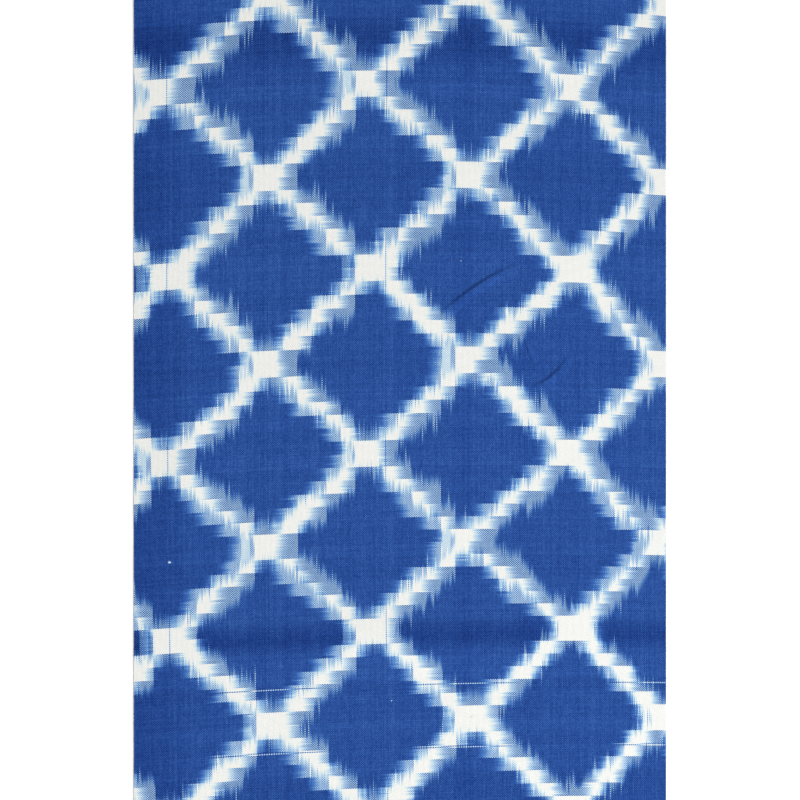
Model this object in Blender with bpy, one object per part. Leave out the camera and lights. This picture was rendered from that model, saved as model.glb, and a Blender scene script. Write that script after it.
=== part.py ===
"""Double ikat cotton cloth, a short cut length lying face up on a surface.

Units are metres. +Z is up, +Y runs along the warp and +X along the weft.
The origin is on the resting plane, under the middle of the cloth.
The cloth is one piece of plain weave, so it is one solid: an even sheet whose
underside lies flat on the surface, and lifts off it only where the cloth has a
low swell or a soft crease.
"""

import math

import bmesh
import bpy
import numpy as np

# Outline and thickness of the cut length.
CLOTH_WIDTH = 0.1702
CLOTH_LENGTH = 0.266
CLOTH_THICKNESS = 0.001

# Grid of the sheet: a coarse pitch all over, divided again where the creases are.
GRID_PITCH = 0.0055
CREASE_CUTS = 2
CREASE_MARGIN = 0.009

# Low swells, where the cloth doesn't lie quite flat.
# Each is an oval bump: middle, half length, half width, turn from +X, and height.
SWELLS = {
    "across the lower part": ((-0.006, -0.078), 0.100, 0.017, math.radians(2), 0.0009),
    "across the top": ((0.004, 0.112), 0.105, 0.019, math.radians(-1), 0.0010),
    "beside the left edge": ((-0.068, -0.012), 0.066, 0.016, math.radians(90), 0.0008),
    "under the creases": ((0.040, 0.024), 0.036, 0.024, math.radians(50), 0.0005),
}

# Soft creases, each a curved ridge: start, bend, end, half width and height.
CREASES = {
    "long curve": ((0.0147, 0.0288), (0.0240, 0.0380), (0.0330, 0.0416), 0.0042, 0.0007),
    "hooked curve": ((0.0429, 0.0045), (0.0470, 0.0050), (0.0528, 0.0131), 0.0038, 0.0006),
    "faint line": ((0.0406, 0.0189), (0.0414, 0.0140), (0.0435, 0.0112), 0.0036, 0.0003),
}
CREASE_POINTS = 24

COTTON_BLUE = (0.035, 0.085, 0.270, 1.0)
COTTON_ROUGHNESS = 0.90


def clear_scene():
    """Remove whatever the file opened with."""
    for item in list(bpy.data.objects):
        bpy.data.objects.remove(item, do_unlink=True)


def cotton_material():
    """Dyed cotton: matt, not metallic, in the cloth's ground colour."""
    material = bpy.data.materials.new("dyed_cotton")
    material.use_nodes = True
    shader = material.node_tree.nodes["Principled BSDF"]
    shader.inputs["Base Color"].default_value = COTTON_BLUE
    shader.inputs["Roughness"].default_value = COTTON_ROUGHNESS
    shader.inputs["Metallic"].default_value = 0.0
    return material


def rounded_fall(distance):
    """A bump's profile: 1 in the middle, falling smoothly to 0 at distance 1 and beyond."""
    inside = np.clip(distance, 0.0, 1.0)
    return (0.5 + 0.5 * np.cos(math.pi * inside)) ** 1.5


def swell_lift(places, middle, half_length, half_width, turn, height):
    """Height that one oval swell adds at each place."""
    along = np.array((math.cos(turn), math.sin(turn)))
    across = np.array((-math.sin(turn), math.cos(turn)))
    offset = places - np.array(middle)
    distance = np.hypot(offset @ along / half_length, offset @ across / half_width)
    return height * rounded_fall(distance)


def crease_lift(places, start, bend, end, half_width, height):
    """Height that one crease adds at each place.

    The crease's line is a curve through start and end, pulled towards bend.
    It is highest halfway along and dies away towards both ends.
    """
    step = np.linspace(0.0, 1.0, CREASE_POINTS)[:, None]
    rest = 1.0 - step
    line = rest**2 * np.array(start) + 2 * rest * step * np.array(bend) + step**2 * np.array(end)
    gaps = np.linalg.norm(places[:, None, :] - line[None, :, :], axis=2)
    nearest = gaps.argmin(axis=1)
    crest = 0.25 + 0.75 * np.sin(math.pi * step[nearest, 0])
    return height * crest * rounded_fall(gaps.min(axis=1) / half_width)


def lift_at(places):
    """Height of the cloth's underside above the surface at each (x, y) place."""
    lift = np.zeros(len(places))
    for swell in SWELLS.values():
        lift = np.maximum(lift, swell_lift(places, *swell))
    for crease in CREASES.values():
        lift = lift + crease_lift(places, *crease)
    return lift


def crease_patch():
    """Lowest and highest corner of the area that holds all the creases."""
    points = np.array([point for crease in CREASES.values() for point in crease[:3]])
    return points.min(axis=0) - CREASE_MARGIN, points.max(axis=0) + CREASE_MARGIN


def sheet_underside():
    """The cloth's underside as an open grid, finer over the creases, at its lifted height."""
    grid = bmesh.new()
    columns = round(CLOTH_WIDTH / GRID_PITCH)
    rows = round(CLOTH_LENGTH / GRID_PITCH)
    bmesh.ops.create_grid(grid, x_segments=columns, y_segments=rows, size=0.5)
    bmesh.ops.scale(grid, vec=(CLOTH_WIDTH, CLOTH_LENGTH, 1.0), verts=grid.verts)

    low, high = crease_patch()
    in_patch = {
        corner for corner in grid.verts if low[0] < corner.co.x < high[0] and low[1] < corner.co.y < high[1]
    }
    fine_edges = [edge for edge in grid.edges if edge.verts[0] in in_patch and edge.verts[1] in in_patch]
    bmesh.ops.subdivide_edges(grid, edges=fine_edges, cuts=CREASE_CUTS, use_grid_fill=True)
    bmesh.ops.triangulate(grid, faces=[face for face in grid.faces if len(face.verts) > 4])

    places = np.array([(corner.co.x, corner.co.y) for corner in grid.verts])
    for corner, height in zip(grid.verts, lift_at(places)):
        corner.co.z = height

    mesh = bpy.data.meshes.new("cloth")
    grid.to_mesh(mesh)
    grid.free()
    return mesh


def make_cloth():
    """The whole cloth: the underside thickened upwards into one closed sheet."""
    mesh = sheet_underside()
    mesh.materials.append(cotton_material())
    mesh.shade_smooth()
    mesh.set_sharp_from_angle(angle=math.radians(40))
    cloth = bpy.data.objects.new("cloth", mesh)
    bpy.context.collection.objects.link(cloth)

    thicken = cloth.modifiers.new("thickness", "SOLIDIFY")
    thicken.thickness = CLOTH_THICKNESS
    thicken.offset = 1.0
    thicken.use_even_offset = True
    return cloth


clear_scene()
make_cloth()
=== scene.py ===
# %% [markdown]
# # A cut length of double ikat cotton
#
# The real thing is fine cotton in plain weave. Before it was woven, bundles of both the
# warp and the weft were tied tight at measured places and dyed blue, so that each yarn
# came out blue with white stretches. On the loom the white stretches of the two yarn
# sets were made to meet, and they draw a lattice of stepped diamonds: solid white where
# both are white, half-toned where only one is.
#
# The pattern could be painted on as a picture. Here each yarn is dyed by rule instead,
# because everything that makes ikat look like ikat comes from the yarns: the streaky
# ends, the soft seep of the dye, and the odd pick that was woven in the wrong place.

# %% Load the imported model
import math

import bpy
import numpy as np
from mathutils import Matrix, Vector


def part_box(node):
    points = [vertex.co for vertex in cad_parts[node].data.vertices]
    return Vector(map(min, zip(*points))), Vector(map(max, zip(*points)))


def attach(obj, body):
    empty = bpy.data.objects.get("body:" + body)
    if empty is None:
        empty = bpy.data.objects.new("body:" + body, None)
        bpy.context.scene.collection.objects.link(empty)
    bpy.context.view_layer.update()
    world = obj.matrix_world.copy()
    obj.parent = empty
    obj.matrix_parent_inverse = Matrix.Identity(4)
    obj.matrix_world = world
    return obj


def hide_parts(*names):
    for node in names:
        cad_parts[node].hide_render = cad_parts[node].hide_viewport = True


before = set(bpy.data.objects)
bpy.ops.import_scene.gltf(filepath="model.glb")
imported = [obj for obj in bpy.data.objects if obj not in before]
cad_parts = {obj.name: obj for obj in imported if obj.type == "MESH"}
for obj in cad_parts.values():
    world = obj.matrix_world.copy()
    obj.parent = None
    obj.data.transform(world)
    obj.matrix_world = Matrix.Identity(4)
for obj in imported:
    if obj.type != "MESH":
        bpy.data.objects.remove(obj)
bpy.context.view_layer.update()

cloth_low, cloth_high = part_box("cloth")
print("The cloth's solid runs from", tuple(cloth_low), "to", tuple(cloth_high))

# %% [markdown]
# ## Sizes
#
# Everything is in metres. The cloth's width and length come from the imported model, and
# the photograph's scale says how much of it one pixel shows. A cloth like this is about
# a third of a millimetre thick. The solid is thicker than that, so the visible sheet
# keeps to its underside.

# %% Sizes of the cloth and of the picture
PIXEL = 0.00032
PICTURE_PIXELS = 800
SEEN_WIDTH = PIXEL * PICTURE_PIXELS
CLOTH_WIDTH = cloth_high[0] - cloth_low[0]
CLOTH_THICKNESS = 0.00038
HALF_WIDTH = CLOTH_WIDTH / 2
HALF_SEEN = SEEN_WIDTH / 2

# %% [markdown]
# ## How the cloth lies
#
# It was smoothed out by hand on a flat surface, and it lies almost flat. A few low swells
# are left, a millimetre high at most, and four soft creases where it was pinched. A cloth
# simulation could settle the sheet, but the folds are so slight that it would only
# flatten them. A height worked out for each place keeps them where they are.

# %% Swells and creases
SWELLS = {
    "across the lower part": ((-0.006, -0.078), 0.100, 0.017, math.radians(2), 0.0009),
    "across the top": ((0.004, 0.112), 0.105, 0.019, math.radians(-1), 0.0010),
    "beside the left edge": ((-0.068, -0.012), 0.066, 0.016, math.radians(90), 0.0008),
    "under the creases": ((0.040, 0.024), 0.036, 0.024, math.radians(50), 0.0005),
}
# Start, bend, end, half width on the lit side, half width on the shaded side, height.
CREASES = {
    "long curve": ((0.0140, 0.0282), (0.0248, 0.0378), (0.0362, 0.0427), 0.0034, 0.0012, 0.00075),
    "hooked curve": ((0.0440, 0.0050), (0.0484, 0.0058), (0.0532, 0.0128), 0.0030, 0.0012, 0.00068),
    "faint line": ((0.0435, 0.0112), (0.0414, 0.0140), (0.0396, 0.0208), 0.0022, 0.0008, 0.00046),
    "short nick": ((0.0342, 0.0278), (0.0328, 0.0290), (0.0317, 0.0307), 0.0016, 0.0007, 0.00028),
}
CREASE_POINTS = 90
CREST_POWER = 0.6
# A crease is no lower at its ends than at these shares of its length.
CREST_LIMITS = (0.08, 0.92)
PUCKER_HEIGHT = 0.00004
# A wave's rate in radians to the metre, its sway in radians, and the rate of its sway.
PUCKER_ACROSS = (310, 1.3, 140)
PUCKER_ALONG = (270, 1.1, 190)


def rounded_fall(distance):
    """A bump's profile: half of 1 + cos(pi * distance), to the power 1.5, and 0 from distance 1 on."""
    inside = np.clip(distance, 0.0, 1.0)
    return (0.5 + 0.5 * np.cos(math.pi * inside)) ** 1.5


def swell_lift(x, y, middle, half_length, half_width, turn, height):
    """An oval swell: height times the rounded fall of the distance in half lengths and half widths."""
    east, north = x - middle[0], y - middle[1]
    along = (east * math.cos(turn) + north * math.sin(turn)) / half_length
    across = (north * math.cos(turn) - east * math.sin(turn)) / half_width
    return height * rounded_fall(np.hypot(along, across))


def crease_lift(x, y, start, bend, end, lit_width, shaded_width, height):
    """A crease: a ridge along the curve (1-t)^2 start + 2t(1-t) bend + t^2 end.

    Its height falls away over lit_width on the right of the curve and, more steeply,
    over shaded_width on the left of it. Along the curve it is highest in the middle: the
    height goes by a power of sin(pi t), and at both ends a little of it is left.
    """
    t = np.linspace(0.0, 1.0, CREASE_POINTS)
    line_x, line_y = ((1 - t) ** 2 * a + 2 * t * (1 - t) * b + t**2 * c for a, b, c in zip(start, bend, end))
    slope_x, slope_y = np.gradient(line_x), np.gradient(line_y)
    gap_x, gap_y = x[..., None] - line_x, y[..., None] - line_y
    nearest = np.hypot(gap_x, gap_y).argmin(axis=-1)
    gap_x = np.take_along_axis(gap_x, nearest[..., None], axis=-1)[..., 0]
    gap_y = np.take_along_axis(gap_y, nearest[..., None], axis=-1)[..., 0]
    side = slope_x[nearest] * gap_y - slope_y[nearest] * gap_x
    width = np.where(side > 0, shaded_width, lit_width)
    crest = np.sin(math.pi * np.clip(t[nearest], *CREST_LIMITS)) ** CREST_POWER
    return height * crest * rounded_fall(np.hypot(gap_x, gap_y) / width)


def swaying_wave(along, across, rate, sway, sway_rate):
    """A wave whose crests sway from side to side: sin(rate * along + sway * sin(sway_rate * across))."""
    return np.sin(along * rate + sway * np.sin(across * sway_rate))


def lift_at(x, y):
    """Height of the underside: the highest swell, plus the creases, plus a trace of pucker."""
    lift = np.zeros_like(x)
    for swell in SWELLS.values():
        lift = np.maximum(lift, swell_lift(x, y, *swell))
    for crease in CREASES.values():
        lift = lift + crease_lift(x, y, *crease)
    pucker = swaying_wave(x, y, *PUCKER_ACROSS) * swaying_wave(y, x, *PUCKER_ALONG)
    return lift + PUCKER_HEIGHT * (1 + pucker)


# %% [markdown]
# ## The sheet
#
# The sheet is a grid of two parameters, across and along. Its lines lie closer together
# over the creases, where the height changes fast, so few faces are spent on the plain
# parts. The same grid serves both faces, and a rim closes them into one thin solid.

# %% Grid lines, closer over the creases
FINE_PITCH = 0.00030
COARSE_PITCH = 0.0025
CREASE_MARGIN = 0.003


def grid_lines(low, high, fine_low, fine_high):
    """Places from low to high, a coarse pitch apart, but a fine pitch between the two fine limits."""
    limits = (low, fine_low, fine_high, high)
    spans = zip(limits[:-1], limits[1:], (COARSE_PITCH, FINE_PITCH, COARSE_PITCH))
    parts = [np.linspace(a, b, max(2, round((b - a) / pitch) + 1))[:-1] for a, b, pitch in spans]
    return np.concatenate([*parts, [high]])


crease_points = np.array([point for crease in CREASES.values() for point in crease[:3]])
fine_low = crease_points.min(axis=0) - CREASE_MARGIN
fine_high = crease_points.max(axis=0) + CREASE_MARGIN
lines_x = grid_lines(cloth_low[0], cloth_high[0], fine_low[0], fine_high[0])
lines_y = grid_lines(cloth_low[1], cloth_high[1], fine_low[1], fine_high[1])
grid_x, grid_y = np.meshgrid(lines_x, lines_y)
grid_lift = lift_at(grid_x, grid_y)
print(f"Grid of {len(lines_x)} by {len(lines_y)} lines, lifted by up to {grid_lift.max() * 1000:.2f} mm")


# %% A mesh from whole arrays
SHARP_ANGLE = math.radians(50)


def add_mesh(name, points, faces, places):
    """An object from points (n, 3), faces (m, corners) and one pattern place (n, 2) for each point."""
    mesh = bpy.data.meshes.new(name)
    mesh.vertices.add(len(points))
    mesh.vertices.foreach_set("co", points.astype(np.float32).ravel())
    mesh.loops.add(faces.size)
    mesh.loops.foreach_set("vertex_index", faces.astype(np.int32).ravel())
    mesh.polygons.add(len(faces))
    mesh.polygons.foreach_set("loop_start", np.arange(0, faces.size, faces.shape[1], dtype=np.int32))
    mesh.update(calc_edges=True)
    weave = mesh.uv_layers.new(name="weave")
    weave.data.foreach_set("uv", places[faces.ravel()].astype(np.float32).ravel())
    mesh.shade_smooth()
    mesh.set_sharp_from_angle(angle=SHARP_ANGLE)
    piece = bpy.data.objects.new(name, mesh)
    bpy.context.collection.objects.link(piece)
    print(f"{name}: {len(points)} points, {len(faces)} faces")
    return piece


# %% [markdown]
# ## Where each place lies in the weave
#
# The pattern counts in tied bundles of yarn: u bundles of warp from left to right, and
# v bundles of weft from top to bottom. On the loom nothing is quite even. The ends crowd
# at the right edge, lie a little looser at the left, bow, and draw together towards the
# foot. The picks tilt, bow, and were beaten closer below the middle and near the top. So
# u and v are even spacing plus those few bends. They go into the mesh as its UV map, and
# the cotton material reads nothing else.

# %% Even spacing and its bends, in bundles
YARNS_IN_BUNDLE = 12
REPEAT = 14
MIDDLE = {"u": 10.14, "v": 18.0}
TO_EDGE = {"u": 18.6, "v": 30.14}
# How many more bundles lie before an edge, or fewer, and the power of the distance they go by.
CROWD_RIGHT = {"bundles": 0.90, "power": 7.0}
CROWD_LEFT = {"bundles": -0.35, "power": 2.2}
ENDS_FAN = 0.20
ENDS_BOW = -0.15
# Where the picks lie closer: between these distances from the middle, by so many bundles.
BEATEN_BELOW = {"start": 0.10, "stop": 0.80, "bundles": 0.85}
BEATEN_ABOVE = {"start": 0.55, "stop": 0.90, "bundles": 0.20}
PICKS_TILT = {"middle": 0.34, "more below": 0.39}
PICKS_BOW = {"middle": -0.60, "more below": 0.25}


def crowded(distance, crowd):
    """Bundles times the distance to a power, and 0 on the other side of the middle."""
    return crowd["bundles"] * np.clip(distance, 0, None) ** crowd["power"]


def beaten(distance, closer):
    """Bundles times t^2 (3 - 2t), where t rises from 0 to 1 between start and stop."""
    t = np.clip((distance - closer["start"]) / (closer["stop"] - closer["start"]), 0, 1)
    return closer["bundles"] * t**2 * (3 - 2 * t)


def weave_place(x, y):
    """(u, v) at each (x, y): even spacing plus the bends.

    The distances to the right and down are 1 at the cloth's side and at the picture's
    edge. A fan is their product, a bow goes by a square, and a tilt by the one across.
    """
    right, down = x / HALF_WIDTH, -y / HALF_SEEN
    tilt = PICKS_TILT["middle"] + PICKS_TILT["more below"] * down
    bow = PICKS_BOW["middle"] + PICKS_BOW["more below"] * down
    u = MIDDLE["u"] + TO_EDGE["u"] * right + ENDS_FAN * right * down + ENDS_BOW * down**2
    u = u + crowded(right, CROWD_RIGHT) - crowded(-right, CROWD_LEFT)
    v = MIDDLE["v"] + TO_EDGE["v"] * down + tilt * right + bow * right**2
    v = v + beaten(down, BEATEN_BELOW) - beaten(-down, BEATEN_ABOVE)
    return np.stack([u, v], axis=-1)


grid_places = weave_place(grid_x, grid_y)
ends = round(np.ptp(grid_places[..., 0]) * YARNS_IN_BUNDLE)
picks = round(np.ptp(grid_places[..., 1]) * YARNS_IN_BUNDLE)
print(f"{ends} ends, {ends / CLOTH_WIDTH / 100:.0f} to the centimetre")


# %% The sheet, closed all round
def closed_sheet(x, y, lift, thickness, places):
    """Two copies of the grid, one on lift and one a thickness higher, joined by a rim.

    Quads of the upper copy run counter-clockwise seen from above, and those of the lower
    copy clockwise. The rim follows the grid's outer line once round.
    """
    rows, columns = x.shape
    number = np.arange(rows * columns).reshape(rows, columns)
    corners = [number[:-1, :-1], number[:-1, 1:], number[1:, 1:], number[1:, :-1]]
    upper = np.stack(corners, axis=-1).reshape(-1, 4)
    below = rows * columns
    lower = upper[:, ::-1] + below
    outline = np.concatenate([number[0, :-1], number[:-1, -1], number[-1, :0:-1], number[:0:-1, 0]])
    following = np.roll(outline, -1)
    rim = np.stack([outline + below, following + below, following, outline], axis=-1)
    top = np.stack([x, y, lift + thickness], axis=-1).reshape(-1, 3)
    bottom = np.stack([x, y, lift], axis=-1).reshape(-1, 3)
    faces = np.concatenate([upper, lower, rim])
    return np.concatenate([top, bottom]), faces, np.concatenate([places.reshape(-1, 2)] * 2)


sheet = add_mesh("woven_sheet", *closed_sheet(grid_x, grid_y, grid_lift, CLOTH_THICKNESS, grid_places))

# %% [markdown]
# ## Cut yarn ends
#
# Where the cloth was cut, every yarn ends in a short, slightly frayed tip. Each tip is a
# three-sided spike that starts inside the cloth's edge. It could be hair on the edge, but
# a mesh exports as it is. A tip takes its colour from its own yarn: its points all carry
# one place in the weave, a crossing on the edge where that yarn lies on top.

# %% Tips along the four edges
# Radius of a spike at its root, halfway and at its tip, and how low its tip may hang.
TIP_RADII = (0.00013, 0.00009, 0.000025)
TIP_LOWEST = 0.00005
TIP_LENGTHS_AT_SIDES = (0.00004, 0.00026)
TIP_LENGTHS_AT_ENDS = (0.00015, 0.0010)
# Share of its length that a tip keeps after wear, and where in the cloth's thickness it starts.
TIP_WORN = (0.4, 1.0)
TIP_HEIGHT = (0.3, 0.7)
TIP_LEAN = 0.35
TIP_SAG = 0.25
TIP_BULGE = 0.05
# How far inside the edge a tip starts, and how far inside it takes its colour.
TIP_INSET = 0.0001
COLOR_INSET = 0.0002
chance = np.random.default_rng(7)


def edge_tips(start, stop, outward, count, lengths, warp):
    """Spikes along the edge from start to stop, each with a triangle at its root, halfway and at its tip.

    The tip lies a length outwards and lean times that sideways, lower by the sag. A
    triangle's corners lie at a quarter, seven twelfths and eleven twelfths of a turn.
    """
    share = (np.arange(count) + 0.5) / count
    root = np.array(start) + share[:, None] * (np.array(stop) - np.array(start))
    inside = root - COLOR_INSET * np.array(outward)
    places = weave_place(inside[:, 0], inside[:, 1])
    yarn = np.floor(places * YARNS_IN_BUNDLE)
    wrong = (yarn.sum(axis=1) % 2 == 0) != warp
    yarn[wrong, 1 if warp else 0] += 1
    places = (yarn + 0.5) / YARNS_IN_BUNDLE

    lift = lift_at(root[:, 0], root[:, 1]) + CLOTH_THICKNESS * chance.uniform(*TIP_HEIGHT, count)
    root = np.column_stack([root - TIP_INSET * np.array(outward), lift])
    length = chance.uniform(*lengths, count) * chance.uniform(*TIP_WORN, count)
    lean = chance.normal(0, TIP_LEAN, count)
    along = np.array([*outward, 0.0])
    side = np.array([-outward[1], outward[0], 0.0])
    direction = along + lean[:, None] * side
    tip = root + (TIP_INSET + length)[:, None] * direction
    tip[:, 2] = np.maximum(tip[:, 2] - TIP_SAG * length, TIP_LOWEST)
    middle = 0.5 * (root + tip) + TIP_BULGE * length[:, None] * side

    turn = (0.25 + np.arange(3) / 3) * 2 * math.pi
    ring = np.cos(turn)[:, None] * side + np.sin(turn)[:, None] * np.array([0.0, 0.0, 1.0])
    rings = [centre[:, None] + radius * ring for centre, radius in zip((root, middle, tip), TIP_RADII)]
    points = np.concatenate(rings, axis=1)
    return points, np.repeat(places[:, None], points.shape[1], axis=1)


def tip_faces(count):
    """Triangles of each spike: two bands of six, and a cap at both ends, facing outwards."""
    a = np.arange(3)
    b = (a + 1) % 3
    band = np.concatenate([np.stack([a, b, b + 3], axis=-1), np.stack([a, b + 3, a + 3], axis=-1)])
    one = np.concatenate([[(0, 2, 1)], band, band + 3, [(6, 7, 8)]])
    points_in_tip = 3 * len(TIP_RADII)
    return (one[None] + points_in_tip * np.arange(count)[:, None, None]).reshape(-1, 3)


left, low_y = cloth_low[0], cloth_low[1]
right, high_y = cloth_high[0], cloth_high[1]
edges = [
    edge_tips((left, high_y), (left, low_y), (-1, 0), picks, TIP_LENGTHS_AT_SIDES, False),
    edge_tips((right, low_y), (right, high_y), (1, 0), picks, TIP_LENGTHS_AT_SIDES, False),
    edge_tips((left, low_y), (right, low_y), (0, -1), ends, TIP_LENGTHS_AT_ENDS, True),
    edge_tips((right, high_y), (left, high_y), (0, 1), ends, TIP_LENGTHS_AT_ENDS, True),
]
tip_points, tip_places = (np.concatenate(parts) for parts in zip(*edges))
tips = add_mesh(
    "yarn_tips", tip_points.reshape(-1, 3), tip_faces(len(tip_points)), tip_places.reshape(-1, 2)
)
print("Tips:", len(tip_points))


# %% [markdown]
# ## Specks
#
# Three neps, tight knots of fibre that took little dye, sit on the blue, and a grey fleck
# of husk lies on a white square. Each stands above the yarns, so it is modelled and not
# painted: a ball whose radius swells and shrinks with both angles, more or less pressed.

# %% Neps and a fleck
# Each entry is the middle, the three half sizes, and the turn from +X.
NEPS = {
    "larger": ((-0.0738, -0.0519), (0.00048, 0.00040, 0.00026), -0.5),
    "smaller": ((-0.0027, -0.0962), (0.00020, 0.00018, 0.00012), 0.0),
    "least": ((0.0195, 0.0445), (0.00017, 0.00015, 0.00010), 0.0),
}
FLECKS = {"grey": ((0.0229, -0.1014), (0.00082, 0.00020, 0.00005), 0.35)}
SPECK_RINGS = 12
SPECK_SIDES = 18


def speck_points(middle, half_sizes, turn):
    """Top, rings from top to bottom, and bottom of a lump, whose middle lies on the cloth's face.

    The radius at the angles t from the top and p around it is 1 + 0.20 sin(3p + 1) sin(t)
    + 0.10 sin(2p + 5t), in half sizes.
    """
    t = np.linspace(0.0, math.pi, SPECK_RINGS + 2)[1:-1, None]
    p = np.arange(SPECK_SIDES) * 2 * math.pi / SPECK_SIDES
    radius = 1 + 0.20 * np.sin(3 * p + 1) * np.sin(t) + 0.10 * np.sin(2 * p + 5 * t)
    directions = np.stack([np.sin(t) * np.cos(p), np.sin(t) * np.sin(p), np.cos(t) + 0 * p], axis=-1)
    rings = (radius[..., None] * directions).reshape(-1, 3)
    points = np.concatenate([[(0.0, 0.0, 1.0)], rings, [(0.0, 0.0, -1.0)]]) * half_sizes
    east = points[:, 0] * math.cos(turn) - points[:, 1] * math.sin(turn) + middle[0]
    north = points[:, 0] * math.sin(turn) + points[:, 1] * math.cos(turn) + middle[1]
    face = lift_at(np.array([middle[0]]), np.array([middle[1]])) + CLOTH_THICKNESS
    return np.stack([east, north, points[:, 2] + face], axis=-1)


def speck_faces():
    """Triangles of one lump, facing outwards: a cap, the bands between its rings, and a cap."""
    number = 1 + np.arange(SPECK_RINGS * SPECK_SIDES).reshape(SPECK_RINGS, SPECK_SIDES)
    following = np.roll(number, -1, axis=1)
    top = np.stack([np.zeros_like(number[0]), number[0], following[0]], axis=-1)
    first = np.stack([number[:-1], number[1:], following[1:]], axis=-1)
    second = np.stack([number[:-1], following[1:], following[:-1]], axis=-1)
    bottom = np.stack([np.full_like(number[0], number.size + 1), following[-1], number[-1]], axis=-1)
    return np.concatenate([top, first.reshape(-1, 3), second.reshape(-1, 3), bottom])


def add_specks(name, specks):
    """One piece made of several lumps."""
    points = np.concatenate([speck_points(*speck) for speck in specks.values()])
    one = speck_faces()
    faces = np.concatenate([one + number * (one.max() + 1) for number in range(len(specks))])
    return add_mesh(name, points, faces, weave_place(points[:, 0], points[:, 1]))


neps = add_specks("white_neps", NEPS)
fleck = add_specks("grey_fleck", FLECKS)

# %% [markdown]
# ## Shader arithmetic
#
# The dyeing rule is arithmetic on u and v, so it reads best as Python. A Wire is one
# output of a node, and the operators on it add Math nodes. Every other node comes from
# Shader.node, which sets the node's type and settings first, and then its sockets.

# %% Wires and nodes
class Wire:
    """An output socket that can be used in sums, also on the right of a plain number."""

    def __init__(self, shader, socket):
        self.shader = shader
        self.socket = socket

    def math(self, operation, *others):
        return self.shader.math(operation, self, *others)

    def __add__(self, other):
        return self.math("ADD", other)

    def __radd__(self, other):
        return self.shader.math("ADD", other, self)

    def __sub__(self, other):
        return self.math("SUBTRACT", other)

    def __rsub__(self, other):
        return self.shader.math("SUBTRACT", other, self)

    def __mul__(self, other):
        return self.math("MULTIPLY", other)

    def __rmul__(self, other):
        return self.shader.math("MULTIPLY", other, self)

    def __truediv__(self, other):
        return self.math("DIVIDE", other)

    def __rpow__(self, other):
        return self.shader.math("POWER", other, self)

    def __pow__(self, other):
        return self.math("POWER", other)

    def floor(self):
        return self.math("FLOOR")

    def size(self):
        """Distance from 0."""
        return self.math("ABSOLUTE")

    def lowest(self, other):
        """The smaller of the two values."""
        return self.math("MINIMUM", other)

    def highest(self, other):
        """The greater of the two values."""
        return self.math("MAXIMUM", other)

    def over(self, limit):
        """1 where the value is greater than limit, else 0."""
        return self.math("GREATER_THAN", limit)

    def equals(self, other, slack=0.5):
        """1 where the value is within slack of other, else 0."""
        return self.math("COMPARE", other, slack)

    def between(self, first, last):
        """1 where a whole number lies from first to last, both included, else 0."""
        return self.over(first - 0.5) * (1 - self.over(last + 0.5))


class Shader:
    """A material's node tree, and the few ways in which nodes are added to it."""

    def __init__(self, name, color, roughness):
        self.material = bpy.data.materials.new(name)
        self.material.use_nodes = True
        self.material.diffuse_color = (*color, 1.0)
        self.tree = self.material.node_tree
        self.surface = self.tree.nodes["Principled BSDF"]
        self.surface.inputs["Roughness"].default_value = roughness

    def node(self, kind, settings=None, sockets=None):
        """Add a node. Sockets are named by identifier, such as Value_001, or by name."""
        node = self.tree.nodes.new(kind)
        for setting, value in (settings or {}).items():
            setattr(node, setting, value)
        for key, value in (sockets or {}).items():
            self.plug(node, key, value)
        return node

    def plug(self, node, key, value):
        """Link a wire to a node's input, or set the input to a plain value."""
        socket = next((s for s in node.inputs if s.identifier == key), None) or node.inputs[key]
        if isinstance(value, Wire):
            self.tree.links.new(value.socket, socket)
        else:
            socket.default_value = value

    def out(self, node, key):
        """A node's output as a wire."""
        return Wire(self, next(s for s in node.outputs if key in (s.identifier, s.name)))

    def math(self, operation, *values):
        keys = ("Value", "Value_001", "Value_002")
        node = self.node("ShaderNodeMath", {"operation": operation}, dict(zip(keys, values)))
        return self.out(node, "Value")

    def vector(self, x, y, z):
        return self.out(self.node("ShaderNodeCombineXYZ", sockets={"X": x, "Y": y, "Z": z}), "Vector")

    def draws(self, first, second, seed):
        """Three even random numbers from 0 to 1 for each pair of whole numbers."""
        noise = self.node("ShaderNodeTexWhiteNoise", {"noise_dimensions": "3D"}, {
            "Vector": self.vector(first, second, seed),
        })
        parts = self.node("ShaderNodeSeparateColor", sockets={"Color": self.out(noise, "Color")})
        return [self.out(parts, channel) for channel in ("Red", "Green", "Blue")]

    def drift(self, x, y, seed, detail=0.0):
        """Smooth noise around 0, from about -1 to 1, that changes over about one unit of x and y."""
        noise = self.node("ShaderNodeTexNoise", {"noise_dimensions": "3D"}, {
            "Vector": self.vector(x, y, seed), "Scale": 1.0, "Detail": detail,
        })
        return (self.out(noise, "Fac") - 0.5) * 4.0

    def ease(self, value, low, high):
        """0 up to low, 1 from high on, and a smooth rise between."""
        node = self.node("ShaderNodeMapRange", {"interpolation_type": "SMOOTHSTEP"}, {
            "Value": value, "From Min": low, "From Max": high,
        })
        return self.out(node, "Result")

    def blend(self, share, first, second):
        """first where share is 0, second where it is 1, and a mix between."""
        node = self.node("ShaderNodeMix", {"data_type": "FLOAT"}, {
            "Factor_Float": share, "A_Float": first, "B_Float": second,
        })
        return self.out(node, "Result_Float")


# %% [markdown]
# ## Which yarn is on top
#
# A bundle is twelve yarns, so twelve times u and v counts ends and picks. In plain weave
# a warp end lies over every other pick, and its neighbours do the opposite, so the warp
# is on top where the two counts add up to an even number.

# %% Ends and picks
COTTON_BLUE = (0.035, 0.085, 0.27)
COTTON_ROUGHNESS = 0.92
# A push before rounding down, so that a whole number stays the number that it is.
PUSH = 0.001

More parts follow.
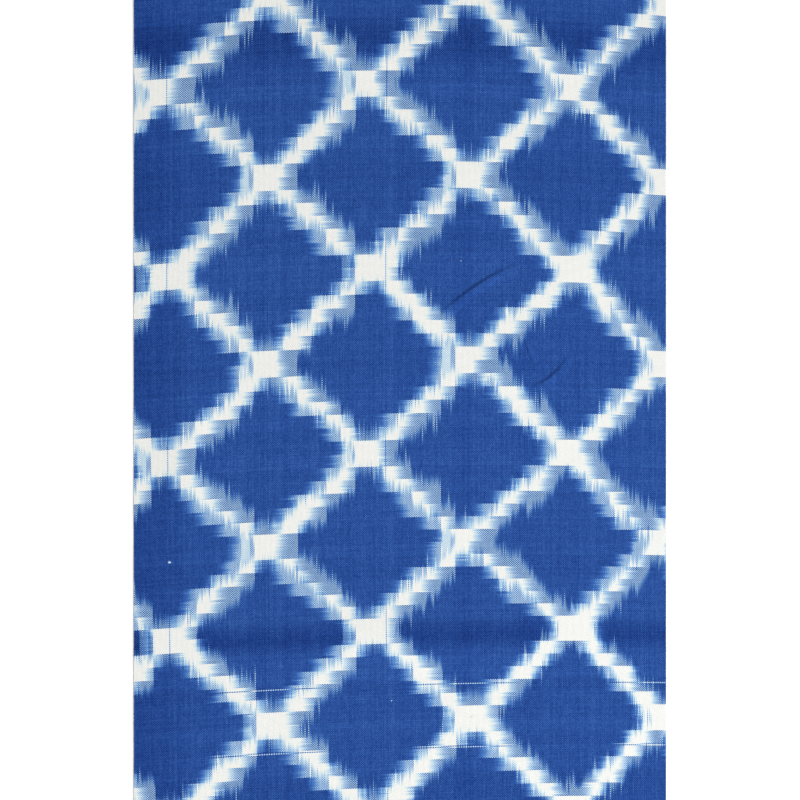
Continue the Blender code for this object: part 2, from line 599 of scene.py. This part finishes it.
cotton = Shader("dyed_cotton", COTTON_BLUE, COTTON_ROUGHNESS)
place = cotton.node("ShaderNodeSeparateXYZ", sockets={
    "Vector": cotton.out(cotton.node("ShaderNodeUVMap", {"uv_map": "weave"}), "UV"),
})
u, v = cotton.out(place, "X"), cotton.out(place, "Y")
end, pick = (u * YARNS_IN_BUNDLE).floor(), (v * YARNS_IN_BUNDLE).floor()
column, row = (end / YARNS_IN_BUNDLE + PUSH).floor(), (pick / YARNS_IN_BUNDLE + PUSH).floor()
half_count = (end + pick) * 0.5
warp_on_top = (half_count - half_count.floor()).equals(0.0, 0.25)
print("Repeat of", REPEAT, "bundles,", REPEAT * YARNS_IN_BUNDLE, "yarns each way")

# %% [markdown]
# ## The tied stretches
#
# Along a yarn the white stretches come once a repeat, in two families: one that steps
# down to the right from bundle to bundle, and one that steps down to the left. Where a
# stretch begins and ends is never quite the same. A whole bundle slips on the loom, the
# yarns slip a little inside it, and the dye creeps in under both ends of the tie. Warp
# yarns also slant within their bundle, so their feathered ends follow the diagonal. The
# weft keeps its square steps, and its ends fade evenly.

# %% How each yarn set was tied, in bundles
WARP_TIES = {
    "reach": 1.22, "aside": 0.0, "slant": 0.5, "fade": 1.15, "stray": 0.7, "bundle_slip": 0.9,
    "group_slip": 0.15, "yarn_slip": 0.48, "bundle_creep": 0.5, "yarn_creep": 0.40,
}
WEFT_TIES = {
    "reach": 1.12, "aside": 0.13, "slant": 0.0, "fade": 1.2, "stray": 0.2, "bundle_slip": 0.7,
    "group_slip": 0.05, "yarn_slip": 0.16, "bundle_creep": 0.5, "yarn_creep": 0.15,
}
# How many of the stretches' ends stray, and how many neighbouring yarns slip together.
STRAY_SHARE = 0.06
YARNS_IN_GROUP = 2.6
# Distance in the noise from one tie to the next, so that their groups differ.
TIE_STRIDE = 7.3


def tied(shader, along, bundle, yarn, step, start, seed, ties):
    """How white a yarn is, from 0 to 1, in one family of stretches.

    A stretch's middle is at bundle * step + start, and again every repeat. A slip moves
    both of its ends alike, and a creep moves each end by itself. At each end the
    whiteness falls smoothly over the fade.
    """
    away = along - bundle * step - start
    tie = (away / REPEAT + 0.5).floor()
    across = (yarn + 0.5) / YARNS_IN_BUNDLE - bundle - 0.5
    bundle_draws = shader.draws(bundle, tie, seed)
    yarn_draws = shader.draws(yarn, tie, seed + 1)
    stray_draws = shader.draws(yarn, tie, seed + 2)
    slip = ties["aside"] + across * (ties["slant"] * step)
    slip = slip + (bundle_draws[0] - 0.5) * ties["bundle_slip"] + (yarn_draws[0] - 0.5) * ties["yarn_slip"]
    slip = slip + shader.drift(yarn / YARNS_IN_GROUP, tie * TIE_STRIDE, seed) * ties["group_slip"]
    away = away - tie * REPEAT - slip
    reaches = [
        (bundle_draws[side] - 0.5) * ties["bundle_creep"] + (yarn_draws[side] - 0.5) * ties["yarn_creep"]
        + stray_draws[side].over(1 - STRAY_SHARE) * ties["stray"] + ties["reach"]
        for side in (1, 2)
    ]
    inside = (reaches[0] + away).lowest(reaches[1] - away) / ties["fade"] + 0.5
    return shader.ease(inside, 0.0, 1.0)


# %% [markdown]
# ## Lengths of weft
#
# The weaver sets each pick so that its white falls where the warp's does. A new length of
# weft starts a little out of place, and each row that follows creeps a little further,
# until the next length starts afresh. So the white squares of a few rows lean one way.

# %% Where each length of weft starts, and how it creeps
# The row it starts in, how many bundles it lies to the right there, and how many more each row.
WEFT_LENGTHS = [
    {"first": -30, "slip": 0.60, "creep": -0.03},
    {"first": -16, "slip": 0.30, "creep": -0.095},
    {"first": -5, "slip": 0.00, "creep": -0.02},
    {"first": 7, "slip": 0.65, "creep": -0.12},
    {"first": 16, "slip": 0.30, "creep": -0.075},
    {"first": 30, "slip": -0.38, "creep": 0.03},
    {"first": 35, "slip": 0.62, "creep": -0.065},
    {"first": 44, "slip": 0.10, "creep": 0.00},
]

weft_slip = 0.0
for length in WEFT_LENGTHS:
    slip = (row - length["first"]) * length["creep"] + length["slip"]
    weft_slip = cotton.blend(row.over(length["first"] - 0.5), weft_slip, slip)
print("Lengths of weft:", len(WEFT_LENGTHS))

# %% [markdown]
# ## Picks out of turn
#
# Two picks were woven out of turn, so their white stretches don't meet the warp's. They
# show as thin broken lines across the cloth. The rule gives them the ties of another row.

# %% The row that each pick was tied for
PICKS_OUT_OF_TURN = {483: 2, 541: -2}

tie_row = row
for number, rows_late in PICKS_OUT_OF_TURN.items():
    tie_row = tie_row + pick.equals(number) * rows_late
print("Picks out of turn:", list(PICKS_OUT_OF_TURN))

# %% [markdown]
# ## White stretches of the weft
#
# A weft yarn has both families on it, and where they meet their whiteness adds up. Just
# above and below a crossing, the stretch on its right begins late, which leaves a blue
# notch between the arms. Near the right edge the stretches of the crossings are longer,
# and the others shorter.

# %% Both families of the weft
CROSSING_EVERY = REPEAT // 2
# Where the far right begins and where it is in full, in bundles of warp.
FAR_RIGHT = (15.0, 19.0)
LATE_START = {"aside": 0.32, "reach": -0.23}
FAR_RIGHT_ASIDE = 0.15
FAR_RIGHT_REACH = {"crossing": 0.12, "arm": -0.10}
SECOND_ASIDE = 0.10

far_right = cotton.ease(u, *FAR_RIGHT)
row_in_step = row - ((row + 0.5) / CROSSING_EVERY).floor() * CROSSING_EVERY
crossing_row = 1 - row_in_step.over(1.5)


def weft_family(step, start, seed, late_row, aside):
    """One family of the weft, moved aside by some bundles.

    Its middle is at row * step + start. It starts late in every seventh row from late_row on.
    """
    late = row_in_step.equals(late_row)
    longer = cotton.blend(crossing_row, FAR_RIGHT_REACH["arm"], FAR_RIGHT_REACH["crossing"])
    more_aside = far_right * crossing_row * FAR_RIGHT_ASIDE + late * LATE_START["aside"]
    more_reach = far_right * longer + late * LATE_START["reach"]
    ties = {
        **WEFT_TIES,
        "aside": more_aside + (WEFT_TIES["aside"] + aside),
        "reach": more_reach + WEFT_TIES["reach"],
    }
    return tied(cotton, u - weft_slip, tie_row, pick, step, start, seed, ties)


to_right = weft_family(step=1, start=0, seed=21, late_row=2, aside=0.0)
to_left = weft_family(step=-1, start=1, seed=31, late_row=6, aside=SECOND_ASIDE)
weft_white = (to_right + to_left).lowest(1.0)

# %% [markdown]
# ## White stretches of the warp
#
# The warp's two families are tied apart, but where they cross, one long tie covers two
# bundles at once. Its ends are square, and a few yarns of the bundle on its left were
# caught in it, which draws a pale strip beside each white square. Towards the right edge
# the yarns slant more within their bundles, and the long ties are missing.

# %% Both families of the warp, and the long ties
CROSSING_TIES = {**WARP_TIES, "reach": 1.6, "slant": 0.0, "fade": 1.5, "bundle_slip": 0.3}
LAST_CROSSING_COLUMN = 16
FAR_RIGHT_SLANT = 0.8
# First and last end of the strip, counted from the long tie, and how white the strip gets.
STRIP_ENDS = (-11, -5)
STRIP_SHARE = 0.7

slanted = {**WARP_TIES, "slant": cotton.ease(column, *FAR_RIGHT) * FAR_RIGHT_SLANT + WARP_TIES["slant"]}
to_right = tied(cotton, v, column, end, step=1, start=0, seed=1, ties=slanted)
to_left = tied(cotton, v, column, end, step=-1, start=2, seed=11, ties=slanted)
crossing = ((column + 1.5) / CROSSING_EVERY).floor()
crossing_white = tied(
    cotton, v, crossing, end, step=CROSSING_EVERY, start=1, seed=15, ties=CROSSING_TIES
)
from_crossing = end - crossing * (CROSSING_EVERY * YARNS_IN_BUNDLE)
has_long_tie = 1 - column.over(LAST_CROSSING_COLUMN + 0.5)
in_long_tie = from_crossing.between(0, 2 * YARNS_IN_BUNDLE - 1) * has_long_tie
in_strip = from_crossing.between(*STRIP_ENDS) * has_long_tie
warp_white = cotton.blend(in_long_tie, (to_right + to_left).lowest(1.0), crossing_white)
warp_white = warp_white.highest(crossing_white * in_strip * STRIP_SHARE)

# %% [markdown]
# ## Ends that missed the tie
#
# Two warp ends slipped out of their ties, so dye reached them along their whole length.
# They cross the white squares as faint blue lines.

# %% Dye all along two ends
ENDS_NEVER_TIED = (-71, 109)
# How much of their white the dye takes away.
NEVER_TIED_DYE = 0.6

for number in ENDS_NEVER_TIED:
    warp_white = warp_white * (1 - end.equals(number) * NEVER_TIED_DYE)
print("Ends that missed the tie:", ENDS_NEVER_TIED)

# %% [markdown]
# ## Depth of the dye
#
# No two dips are alike. Each bundle, and each yarn in it, took up a little more or less
# dye, and the uptake drifts along the yarn. Some bundles were dipped longer, and make
# deeper bands across the cloth. Near its left edge the whole cloth is a shade deeper.

# %% Uptake by bundle and by yarn
SET_DEPTH = {"warp": 0.82, "weft": 1.18}
BUNDLE_SPREAD = {"warp": 0.08, "weft": 0.12}
YARN_SPREAD = 0.14
DRIFT_SPREAD = 0.08
# Distance in the drift's noise from a yarn to the next, and along a yarn for each bundle.
DRIFT_STRIDE = 3.7
DRIFT_RATE = 0.9
CROSSING_SPREAD = 0.16
# Second numbers of the draws for bundles and for yarns, which keep the two apart.
FOR_BUNDLES = 3
FOR_YARNS = 5
# Middle and half width in bundles, and how much deeper the dye is.
DEEP_BANDS = {"low band": (36.4, 1.3, 0.16), "top band": (-9.6, 3.2, 0.12), "foot": (50.0, 5.0, 0.05)}
# Where the left edge's deeper shade begins, where it is in full, and how much deeper it is.
LEFT_EDGE = (-4.0, -8.4, 0.10)


def uptake(shader, along, bundle, yarn, yarn_set, seed):
    """Dye taken up by a yarn: its set's depth, a draw for its bundle and for itself, and a slow drift."""
    for_bundle = shader.draws(bundle, FOR_BUNDLES, seed)[0]
    for_yarn = shader.draws(yarn, FOR_YARNS, seed)[0]
    drift = shader.drift(yarn * DRIFT_STRIDE, along * DRIFT_RATE, seed, detail=1.0)
    spread = (for_bundle - 0.5) * BUNDLE_SPREAD[yarn_set] + (for_yarn - 0.5) * YARN_SPREAD
    return SET_DEPTH[yarn_set] + spread + drift * DRIFT_SPREAD


warp_depth = uptake(cotton, v, column, end, "warp", seed=41)
weft_depth = uptake(cotton, u, row, pick, "weft", seed=51)
deeper = 1 + cotton.ease(u, LEFT_EDGE[0], LEFT_EDGE[1]) * LEFT_EDGE[2]
for middle, half_width, amount in DEEP_BANDS.values():
    deeper = deeper + cotton.ease((v - middle).size(), half_width, 0.0) * amount
deeper = deeper + (cotton.draws(end, pick, seed=61)[0] - 0.5) * CROSSING_SPREAD
warp_dye = (1 - warp_white) * warp_depth * deeper
weft_dye = (1 - weft_white) * weft_depth * deeper

# %% [markdown]
# ## From dye to colour
#
# Dye in a yarn works like coloured glass: twice the dye filters the light twice over. So
# a channel's colour is the white cotton's times a ratio to the power of the dye. In green
# and blue the dye itself goes by a power, because they darken later than red. Little dye
# then looks pale and greenish blue, as at a stretch's soft end, and full dye is deep
# blue. Light also passes from yarn to yarn, so a white yarn between blue ones looks
# tinted. That is why half-toned squares are lilac, and darker than half white.

# %% White cotton, full dye, and the tint from neighbours
WHITE_COTTON = (0.795, 0.800, 0.768)
FULL_DYE = (0.0187, 0.0674, 0.284)
# The power that the dye goes by in red, green and blue.
LATENESS = (1.0, 1.20, 1.75)
NEIGHBOUR_SHARE = 0.18

own_dye = cotton.blend(warp_on_top, weft_dye, warp_dye)
other_dye = cotton.blend(warp_on_top, warp_dye, weft_dye)
dye = own_dye * (1 - NEIGHBOUR_SHARE) + other_dye * NEIGHBOUR_SHARE
channels = [
    white * (full / white) ** (dye**late) for white, full, late in zip(WHITE_COTTON, FULL_DYE, LATENESS)
]
print("Full dye lets through", [round(full / white, 3) for white, full in zip(WHITE_COTTON, FULL_DYE)])

# %% [markdown]
# ## Relief of the weave
#
# A yarn is round, and it arches over the yarn that it crosses, so each crossing is a
# small oblong cushion with a dark nook around it. There are some 360,000 of them, far too
# many to model, so they are relief in the material: a height that feeds a Bump node, and
# a shade in the nooks that the relief alone is too fine to give.

# %% Cushions and nooks
RELIEF = 0.00006
# How far a cushion falls towards its ends along the yarn, as a share of its height.
CUSHION_FALL = 0.55
NOOK_SHADE = 0.28
COTTON_SPECULAR = 0.05

across_end = (u * YARNS_IN_BUNDLE - end - 0.5) * 2
across_pick = (v * YARNS_IN_BUNDLE - pick - 0.5) * 2
across_yarn = cotton.blend(warp_on_top, across_pick, across_end)
along_yarn = cotton.blend(warp_on_top, across_end, across_pick)
cushion = (1 - across_yarn**2) * (1 - CUSHION_FALL * along_yarn**2)
light = 1 - NOOK_SHADE * (1 - cushion) ** 2
color = cotton.node("ShaderNodeCombineColor", sockets={
    name: channel * light for name, channel in zip(("Red", "Green", "Blue"), channels)
})
bump = cotton.node("ShaderNodeBump", sockets={"Height": cushion, "Distance": RELIEF, "Strength": 1.0})
cotton.plug(cotton.surface, "Base Color", cotton.out(color, "Color"))
cotton.plug(cotton.surface, "Normal", cotton.out(bump, "Normal"))
cotton.surface.inputs["Specular IOR Level"].default_value = COTTON_SPECULAR
for piece in (sheet, tips):
    piece.data.materials.append(cotton.material)
print("Nodes in the cotton material:", len(cotton.tree.nodes))

# %% [markdown]
# ## Fibre of the specks
#
# The neps and the fleck are loose fibre, so their colour wanders a little over each, by a
# noise that reads the piece's own coordinates.

# %% Pale fibre and grey fibre
# Light colour, dark colour, and the noise's scale, in changes to the metre.
PALE_FIBRE = ((0.60, 0.75, 0.95), (0.22, 0.34, 0.52), 2600.0)
GREY_FIBRE = ((0.70, 0.69, 0.66), (0.52, 0.51, 0.49), 1800.0)
FIBRE_ROUGHNESS = 0.9
# The noise's values between which the colour goes from light to dark.
FIBRE_TURN = (0.35, 0.65)


def fibre(name, light, dark, scale):
    """A matt material whose colour wanders between two."""
    shader = Shader(name, light, FIBRE_ROUGHNESS)
    spot = shader.out(shader.node("ShaderNodeTexCoord"), "Object")
    noise = shader.node("ShaderNodeTexNoise", sockets={"Vector": spot, "Scale": scale, "Detail": 2.0})
    mix = shader.node("ShaderNodeMix", {"data_type": "RGBA"}, {
        "Factor_Float": shader.ease(shader.out(noise, "Fac"), *FIBRE_TURN),
        "A_Color": (*light, 1.0), "B_Color": (*dark, 1.0),
    })
    shader.plug(shader.surface, "Base Color", shader.out(mix, "Result_Color"))
    return shader


for piece, shader in ((neps, fibre("pale_fibre", *PALE_FIBRE)), (fleck, fibre("grey_fibre", *GREY_FIBRE))):
    piece.data.materials.append(shader.material)
    print(piece.name, "is", shader.material.name)

# %% [markdown]
# ## What carries what
#
# Every piece rides on the model's one body. The woven sheet stands for the solid cloth,
# and the tips and specks belong to it. It is laid, and nothing was cut away or stretched,
# so its flat size is the size that it lies in.

# %% Ride and replace
for piece in (sheet, tips, neps, fleck):
    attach(piece, "root")
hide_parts("cloth")

# %% [markdown]
# ## Floor, light and camera
#
# The photograph looks straight down on the cloth, on plain white. A wide soft lamp stands
# to the right, on the side of the picture's foot, and a bright even sky lightens the
# shadows, but the creases still read. A long lens far above keeps the edges parallel.

# %% Floor
FLOOR_HALF = 3.0
FLOOR_DROP = 0.00003
PAPER_WHITE = (0.93, 0.93, 0.93)
PAPER_ROUGHNESS = 0.95

floor_mesh = bpy.data.meshes.new("floor")
floor_height = cloth_low[2] - FLOOR_DROP
floor_corners = [
    (FLOOR_HALF * x, FLOOR_HALF * y, floor_height) for x, y in ((-1, -1), (1, -1), (1, 1), (-1, 1))
]
floor_mesh.from_pydata(floor_corners, [], [(0, 1, 2, 3)])
floor = bpy.data.objects.new("floor", floor_mesh)
bpy.context.collection.objects.link(floor)
paper = Shader("white_paper", PAPER_WHITE, PAPER_ROUGHNESS)
paper.surface.inputs["Base Color"].default_value = (*PAPER_WHITE, 1.0)
floor_mesh.materials.append(paper.material)

# %% Light
LAMP_PLACE = Vector((0.85, -0.60, 0.95))
LAMP_SIDE = 0.7
LAMP_POWER = 20.0
SKY_STRENGTH = 0.62

lamp = bpy.data.lights.new("soft_lamp", "AREA")
lamp.size = LAMP_SIDE
lamp.energy = LAMP_POWER
lamp_holder = bpy.data.objects.new("soft_lamp", lamp)
lamp_holder.location = LAMP_PLACE
lamp_holder.rotation_euler = (-LAMP_PLACE).to_track_quat("-Z", "Y").to_euler()
bpy.context.collection.objects.link(lamp_holder)

sky = bpy.data.worlds.new("even_sky")
sky.use_nodes = True
sky.node_tree.nodes["Background"].inputs["Color"].default_value = (1.0, 1.0, 1.0, 1.0)
sky.node_tree.nodes["Background"].inputs["Strength"].default_value = SKY_STRENGTH
bpy.context.scene.world = sky
bpy.context.scene.view_settings.view_transform = "Standard"
# One crossing is little more than a pixel wide, and a denoiser would smooth it away as noise.
bpy.context.scene.cycles.use_denoising = False

# %% Camera
LENS = 135.0
SENSOR = 36.0

camera = bpy.data.cameras.new("overhead")
camera.lens = LENS
camera.sensor_width = SENSOR
camera_height = SEEN_WIDTH * camera.lens / camera.sensor_width
camera_holder = bpy.data.objects.new("overhead", camera)
camera_holder.location = (0.0, 0.0, camera_height + CLOTH_THICKNESS)
bpy.context.collection.objects.link(camera_holder)
bpy.context.scene.camera = camera_holder
print(f"Camera {camera_height:.3f} m above the cloth")
